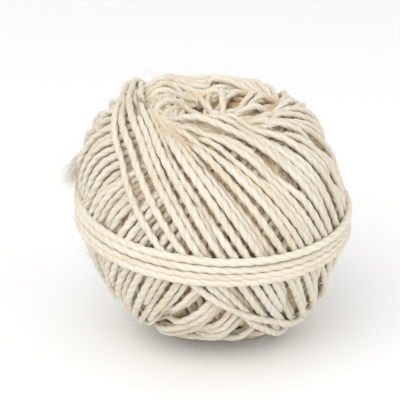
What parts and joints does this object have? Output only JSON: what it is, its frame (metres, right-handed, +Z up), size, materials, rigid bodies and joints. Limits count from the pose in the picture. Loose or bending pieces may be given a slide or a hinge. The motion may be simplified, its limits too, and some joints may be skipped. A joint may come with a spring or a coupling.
{
  "type": "ball of string",
  "caption": "Machine-wound ball of natural cream string with a sunk eye at the top, a belt of turns round the waist and a small flat spot to rest on.",
  "frame": {"origin": "on the surface the ball rests on, under the middle of its box", "axes": "+Z up through the sunk eye; -Y is the front, where the turns above the belt fall from upper left to lower right"},
  "size_m": [0.08, 0.08, 0.0739],
  "materials": {
    "string": "matt undyed plant fibre, two plies twisted together, with fine stray hairs"
  },
  "bodies": {
    "root": {"string_ball": "string"}
  },
  "joints": []
}
